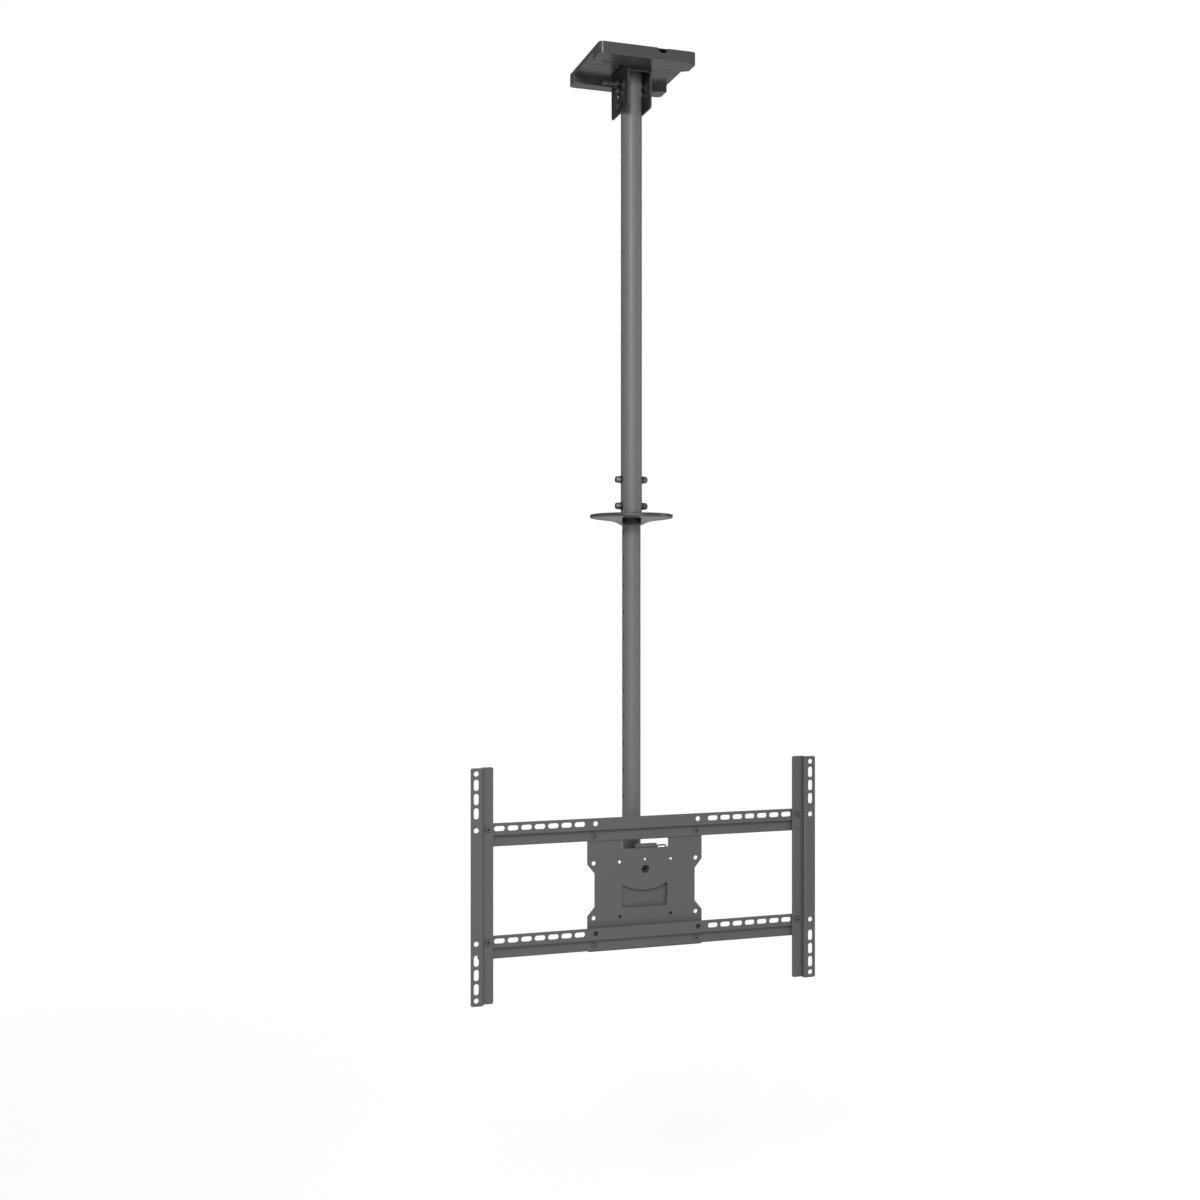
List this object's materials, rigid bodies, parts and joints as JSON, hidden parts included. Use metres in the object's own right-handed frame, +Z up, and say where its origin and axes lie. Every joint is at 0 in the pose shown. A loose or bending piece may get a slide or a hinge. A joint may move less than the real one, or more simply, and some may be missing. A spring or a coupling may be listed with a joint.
{
  "type": "tv ceiling mount",
  "caption": "Ceiling mount for a television: covered ceiling plate, leaning telescopic pole with tray, swivel and tilt head, slotted rails and upright arms.",
  "frame": {"origin": "on the ceiling face, on the pole's axis", "axes": "+X to the viewer's right along the rails, -Y towards the screen and the viewer, +Z up into the ceiling"},
  "size_m": [0.67, 0.1964, 1.7323],
  "materials": {
    "steel_plate": "black powder coat",
    "cover_plastic": "dark grey, fine texture",
    "black_steel": "black powder coat",
    "pole_coat": "dark grey powder coat",
    "tray_coat": "dark grey, satin",
    "frame_coat": "dark grey powder coat",
    "black_fastener": "black zinc",
    "grey_fastener": "dark zinc",
    "black_plastic": "moulded",
    "knob_plastic": "moulded, satin",
    "black_wire": "black coat"
  },
  "bodies": {
    "ceiling": {"ceiling_plate": "steel_plate", "front_cover": "cover_plastic", "rear_cover": "cover_plastic", "yoke": "black_steel", "yoke_screws": "black_fastener", "yoke_nuts": "black_fastener", "pivot_bolt": "black_fastener", "pivot_nut": "black_fastener"},
    "pole": {"outer_tube": "pole_coat", "lean_bolt": "black_fastener", "lean_nut": "black_fastener", "guide_bolt": "black_fastener", "guide_nut": "black_fastener", "height_bolts": "grey_fastener", "height_nuts": "grey_fastener", "height_washers": "black_fastener", "tray": "tray_coat", "tray_bush": "black_plastic", "tray_screw": "black_fastener"},
    "drop_tube": {"inner_tube": "pole_coat", "tube_plug": "black_plastic", "thrust_ring": "frame_coat", "ring_screw": "black_fastener"},
    "head": {"swivel_head": "frame_coat", "swivel_screw": "black_fastener", "tilt_bolt": "black_fastener"},
    "knob": {"tilt_knob": "knob_plastic"},
    "screen_frame": {"tilt_bracket": "frame_coat", "vesa_plate": "frame_coat", "centre_bolt": "black_fastener", "centre_nut": "black_fastener", "cable_ring": "black_wire", "top_rail": "frame_coat", "bottom_rail": "frame_coat", "rail_screws": "black_fastener", "rail_nuts": "black_fastener"},
    "arm_left": {"left_arm": "frame_coat", "left_arm_screws": "black_fastener", "left_arm_nuts": "black_fastener"},
    "arm_right": {"right_arm": "frame_coat", "right_arm_screws": "black_fastener", "right_arm_nuts": "black_fastener"}
  },
  "joints": [
    {"name": "pole_lean", "type": "hinge", "parent": "ceiling", "child": "pole", "pos_m": [0, 0, -0.081], "axis": [1, 0, 0], "range_deg": [-45, 45]},
    {"name": "height", "type": "slide", "parent": "pole", "child": "drop_tube", "axis": [0, 0, 1], "range_m": [-0.1, 0.5]},
    {"name": "head_swivel", "type": "hinge", "parent": "drop_tube", "child": "head", "pos_m": [0, 0, -1.54], "axis": [0, 0, 1], "range_deg": [-180, 180]},
    {"name": "screen_tilt", "type": "hinge", "parent": "head", "child": "screen_frame", "pos_m": [0, -0.042, -1.5263], "axis": [1, 0, 0], "range_deg": [-5, 15]},
    {"name": "knob_turn", "type": "hinge", "parent": "head", "child": "knob", "pos_m": [0.055, -0.042, -1.5263], "axis": [1, 0, 0], "continuous": true},
    {"name": "left_arm_shift", "type": "slide", "parent": "screen_frame", "child": "arm_left", "axis": [-1, 0, 0], "range_m": [-0.0035, 0.0095]},
    {"name": "right_arm_shift", "type": "slide", "parent": "screen_frame", "child": "arm_right", "axis": [1, 0, 0], "range_m": [-0.0035, 0.0095]}
  ]
}
